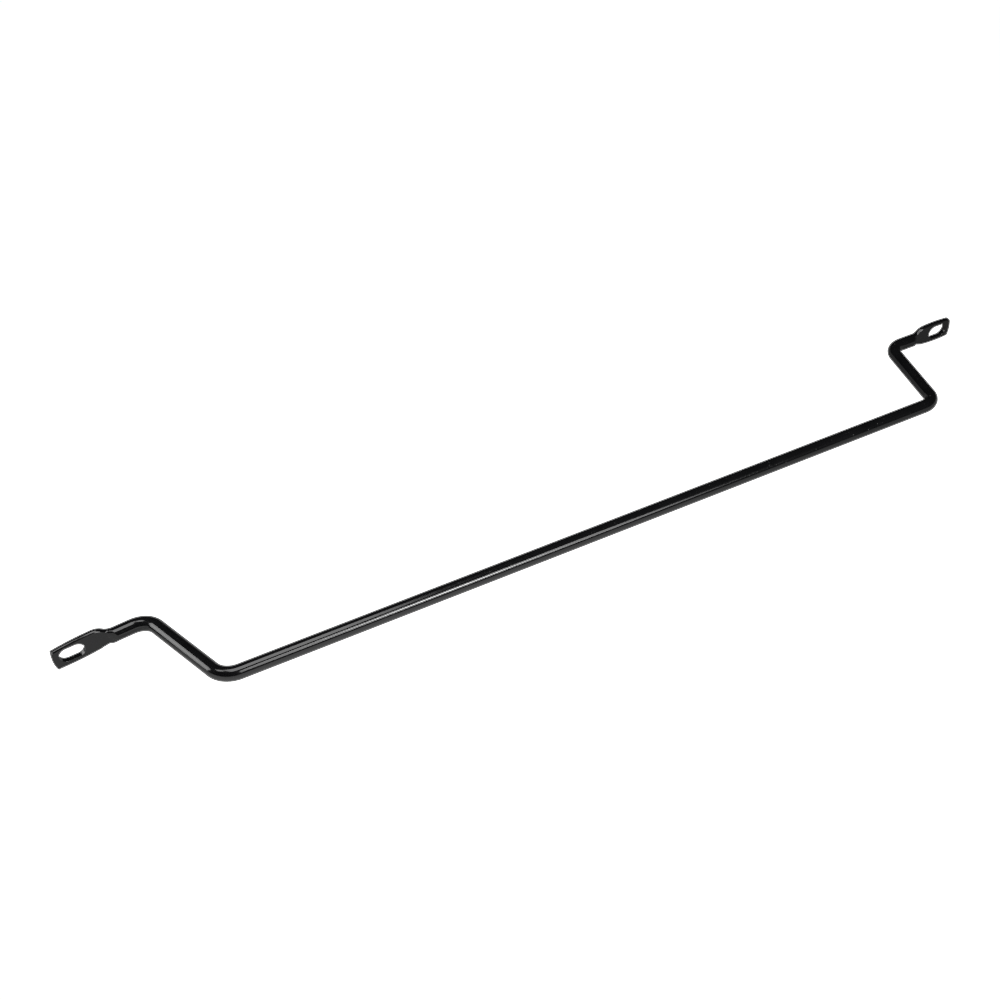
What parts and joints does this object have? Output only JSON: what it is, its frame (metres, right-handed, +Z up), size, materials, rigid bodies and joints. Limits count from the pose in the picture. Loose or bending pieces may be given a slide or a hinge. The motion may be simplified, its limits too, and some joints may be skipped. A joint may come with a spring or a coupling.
{
  "type": "sway bar",
  "caption": "Round steel anti-roll bar, bent into a shallow tray shape, with both ends pressed flat and pierced by an oblong bolt slot.",
  "frame": {"origin": "midway between the centres of the two bolt slots, on the middle plane of the flattened ends", "axes": "+X runs through both slot centres towards the shorter tab, +Y is the direction of both bolts, away from the centre section, and +Z is up, across the width of the flattened ends"},
  "size_m": [0.935, 0.1126, 0.0338],
  "materials": {
    "black_paint": "gloss black paint baked over spring steel"
  },
  "bodies": {
    "root": {"sway_bar": "black_paint"}
  },
  "joints": []
}
